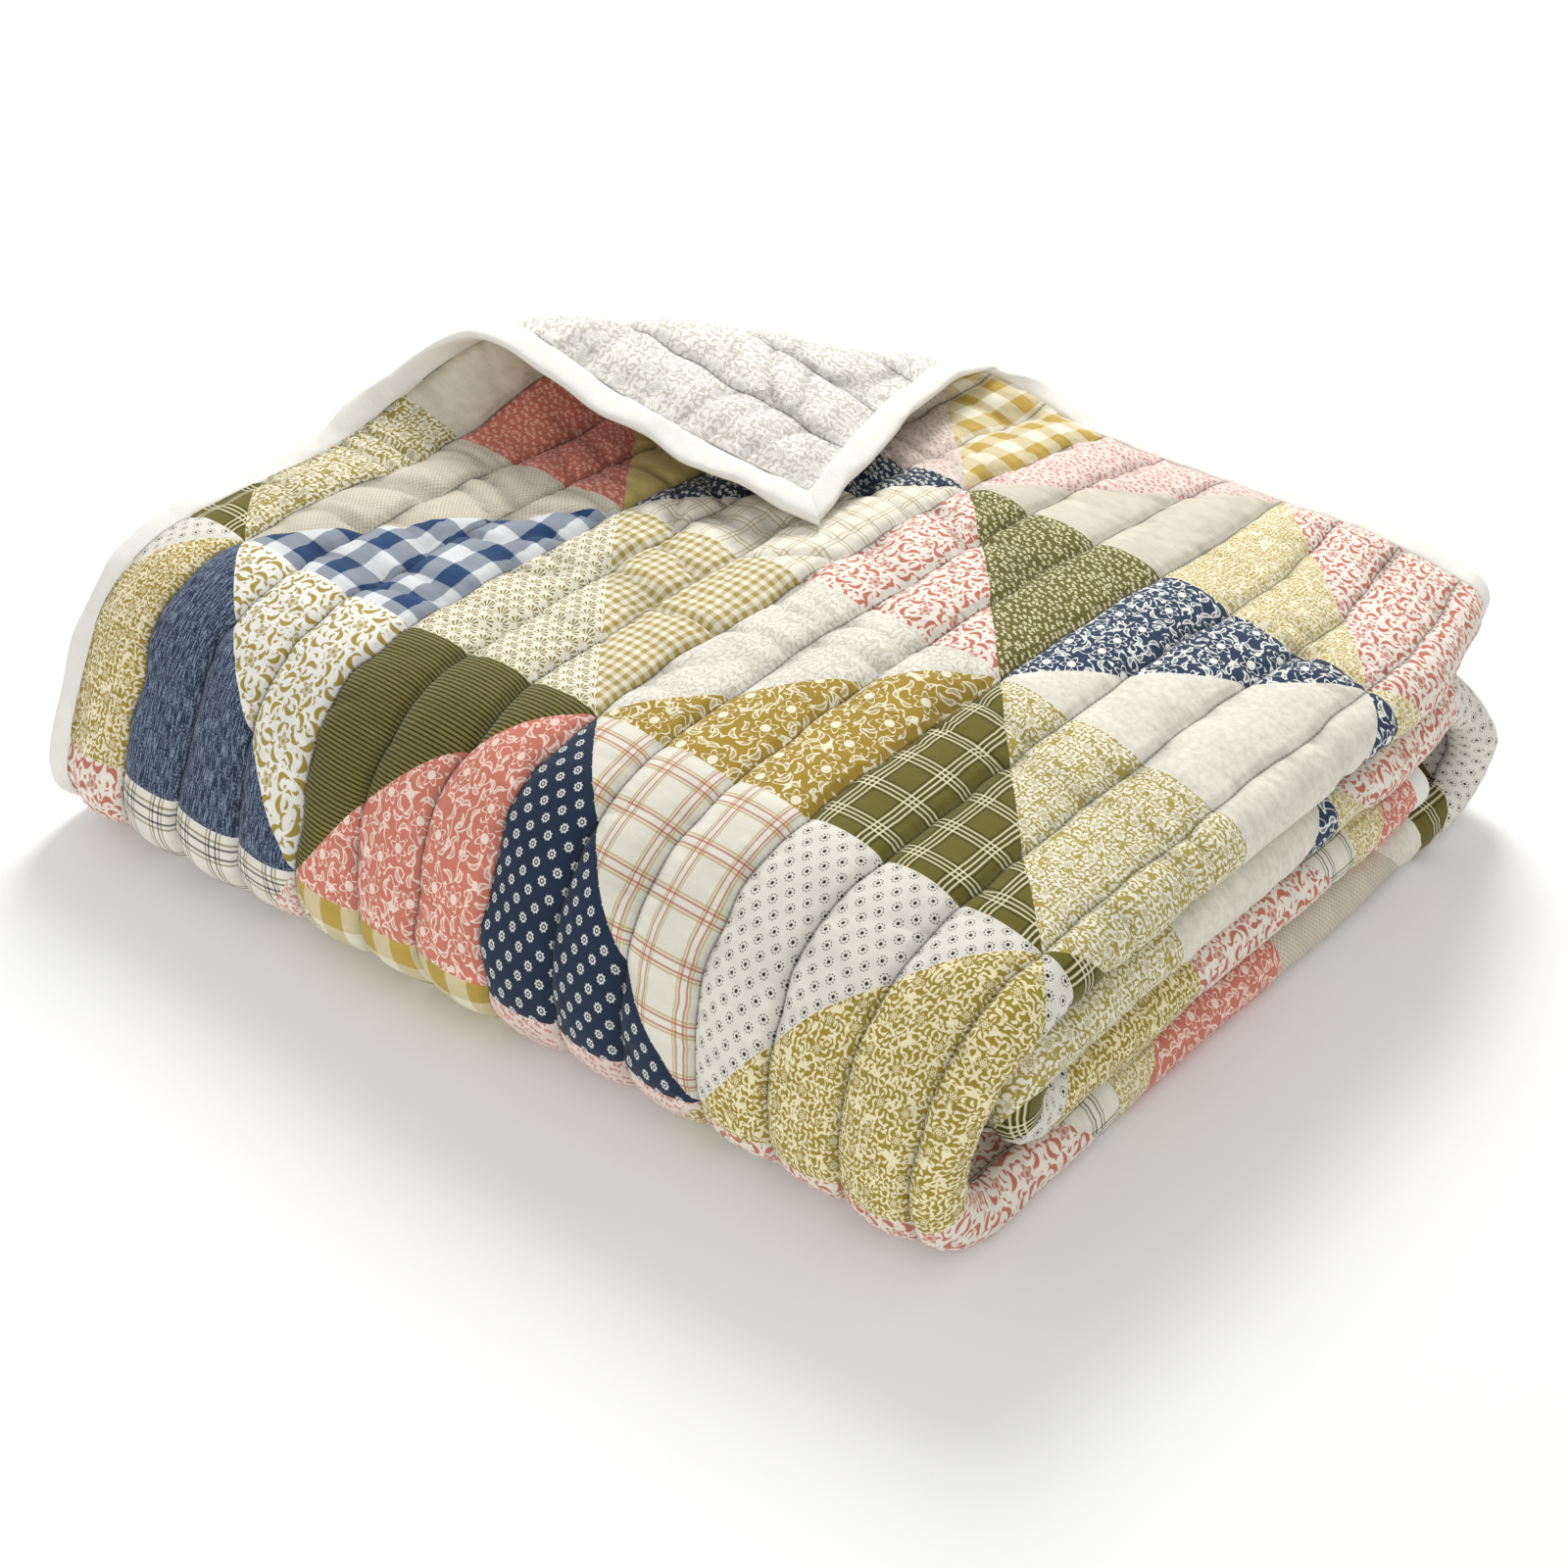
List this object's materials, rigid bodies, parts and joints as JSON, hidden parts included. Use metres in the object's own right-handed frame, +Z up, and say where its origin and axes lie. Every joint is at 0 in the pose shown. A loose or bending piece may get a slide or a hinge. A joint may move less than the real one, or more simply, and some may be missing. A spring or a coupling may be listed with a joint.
{
  "type": "folded patchwork quilt",
  "caption": "Patchwork quilt with channel quilting and a plain bound edge, folded into a soft stack with one corner turned back over the top.",
  "frame": {"origin": "middle of the bounding box at its base, on the surface the folded quilt lies on", "axes": "+X along the front fold towards the side where the layers are folded, +Y from the front fold to the free far edge, +Z up"},
  "size_m": [0.739, 0.705, 0.2535],
  "materials": {
    "patchwork_cotton": "matte printed cotton patchwork, softly quilted",
    "binding_cotton": "matte plain cotton"
  },
  "bodies": {
    "root": {"quilt": "patchwork_cotton", "binding": "binding_cotton"}
  },
  "joints": []
}
